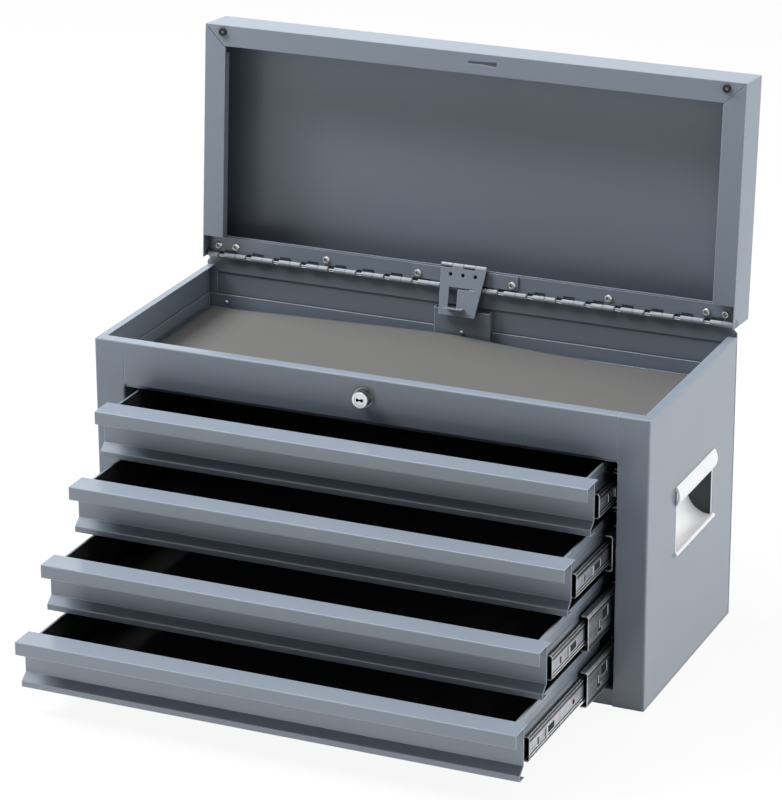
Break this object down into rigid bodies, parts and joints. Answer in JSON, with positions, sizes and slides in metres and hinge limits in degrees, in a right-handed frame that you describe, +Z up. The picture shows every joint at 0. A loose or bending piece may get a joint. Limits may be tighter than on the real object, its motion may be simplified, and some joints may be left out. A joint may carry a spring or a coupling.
{
  "type": "tool chest",
  "caption": "Sheet-steel top tool chest with a hinged lid over an open tray, drawers on ball slides, a cam lock and recessed side handles.",
  "frame": {"origin": "middle of the case's underside, on the surface it stands on", "axes": "+X to the right seen from the front, +Y to the back, +Z up"},
  "size_m": [0.6088, 0.5629, 0.5715],
  "materials": {
    "painted_steel": "satin blue-grey paint",
    "slide_steel": "zinc plated",
    "zinc_steel": "zinc plated",
    "hinge_steel": "satin blue-grey paint",
    "rivet_metal": "plain",
    "handle_metal": "bright silver",
    "chrome": "polished",
    "tray_mat": "matt grey",
    "drawer_mat": "matt black",
    "rubber": "matt black"
  },
  "bodies": {
    "case": {"side_panel_right": "painted_steel", "side_panel_left": "painted_steel", "back_panel": "painted_steel", "bottom_panel": "painted_steel", "header_rail": "painted_steel", "tray_floor": "painted_steel", "tray_mat": "tray_mat", "slide_posts_right": "zinc_steel", "slide_posts_left": "zinc_steel", "side_handle_right": "handle_metal", "side_handle_left": "handle_metal", "lock_body": "chrome", "lock_nut": "zinc_steel", "lock_channel_cover": "painted_steel", "hinge_case_leaf": "hinge_steel", "hinge_pin": "rivet_metal", "drawer_1_slide_channels": "slide_steel", "drawer_2_slide_channels": "slide_steel", "drawer_3_slide_channels": "slide_steel", "drawer_4_slide_channels": "slide_steel"},
    "lid": {"lid_shell": "painted_steel", "hinge_lid_leaf": "hinge_steel", "hinge_rivets": "rivet_metal", "lid_bumpers": "rubber", "lock_plate_bracket": "hinge_steel", "lock_plate_pin": "rivet_metal"},
    "lock_plate": {"lock_plate": "hinge_steel"},
    "lock_core": {"lock_plug": "chrome", "lock_cam": "zinc_steel", "lock_cam_screw": "zinc_steel"},
    "lock_bar": {"lock_bar": "zinc_steel"},
    "drawer_1": {"drawer_1_box": "painted_steel", "drawer_1_front": "painted_steel", "drawer_1_mat": "drawer_mat", "drawer_1_slide_rails": "slide_steel"},
    "slide_middle_1": {"drawer_1_slide_middles": "slide_steel"},
    "drawer_2": {"drawer_2_box": "painted_steel", "drawer_2_front": "painted_steel", "drawer_2_mat": "drawer_mat", "drawer_2_slide_rails": "slide_steel"},
    "slide_middle_2": {"drawer_2_slide_middles": "slide_steel"},
    "drawer_3": {"drawer_3_box": "painted_steel", "drawer_3_front": "painted_steel", "drawer_3_mat": "drawer_mat", "drawer_3_slide_rails": "slide_steel"},
    "slide_middle_3": {"drawer_3_slide_middles": "slide_steel"},
    "drawer_4": {"drawer_4_box": "painted_steel", "drawer_4_front": "painted_steel", "drawer_4_mat": "drawer_mat", "drawer_4_slide_rails": "slide_steel"},
    "slide_middle_4": {"drawer_4_slide_middles": "slide_steel"}
  },
  "joints": [
    {"name": "lid_hinge", "type": "hinge", "parent": "case", "child": "lid", "pos_m": [0, 0.1267, 0.3195], "axis": [1, 0, 0], "range_deg": [0, 94.2]},
    {"name": "lock_plate_hinge", "type": "hinge", "parent": "lid", "child": "lock_plate", "pos_m": [0, 0.12862, 0.34292], "axis": [1, 0, 0], "range_deg": [-104, 0]},
    {"name": "lock_turn", "type": "hinge", "parent": "case", "child": "lock_core", "pos_m": [0, -0.1405, 0.2867], "axis": [0, -1, 0], "range_deg": [0, 90]},
    {"name": "lock_bar_slide", "type": "slide", "parent": "case", "child": "lock_bar", "axis": [0, 0, -1], "range_m": [0, 0.006]},
    {"name": "drawer_1_slide", "type": "slide", "parent": "case", "child": "drawer_1", "axis": [0, -1, 0], "range_m": [-0.071, 0.179]},
    {"name": "drawer_1_middle_slide", "type": "slide", "parent": "case", "child": "slide_middle_1", "axis": [0, -1, 0], "range_m": [-0.0355, 0.0895]},
    {"name": "drawer_2_slide", "type": "slide", "parent": "case", "child": "drawer_2", "axis": [0, -1, 0], "range_m": [-0.1295, 0.1205]},
    {"name": "drawer_2_middle_slide", "type": "slide", "parent": "case", "child": "slide_middle_2", "axis": [0, -1, 0], "range_m": [-0.06475, 0.06025]},
    {"name": "drawer_3_slide", "type": "slide", "parent": "case", "child": "drawer_3", "axis": [0, -1, 0], "range_m": [-0.1915, 0.0585]},
    {"name": "drawer_3_middle_slide", "type": "slide", "parent": "case", "child": "slide_middle_3", "axis": [0, -1, 0], "range_m": [-0.09575, 0.02925]},
    {"name": "drawer_4_slide", "type": "slide", "parent": "case", "child": "drawer_4", "axis": [0, -1, 0], "range_m": [-0.248, 0.002]},
    {"name": "drawer_4_middle_slide", "type": "slide", "parent": "case", "child": "slide_middle_4", "axis": [0, -1, 0], "range_m": [-0.124, 0.001]}
  ],
  "couplings": [
    {"joint": "lock_plate_hinge", "follows": "lid_hinge", "ratio": -1.1},
    {"joint": "lock_bar_slide", "follows": "lid_hinge", "m_per_rad": 0.0036},
    {"joint": "drawer_1_middle_slide", "follows": "drawer_1_slide", "ratio": 0.5},
    {"joint": "drawer_2_middle_slide", "follows": "drawer_2_slide", "ratio": 0.5},
    {"joint": "drawer_3_middle_slide", "follows": "drawer_3_slide", "ratio": 0.5},
    {"joint": "drawer_4_middle_slide", "follows": "drawer_4_slide", "ratio": 0.5}
  ]
}
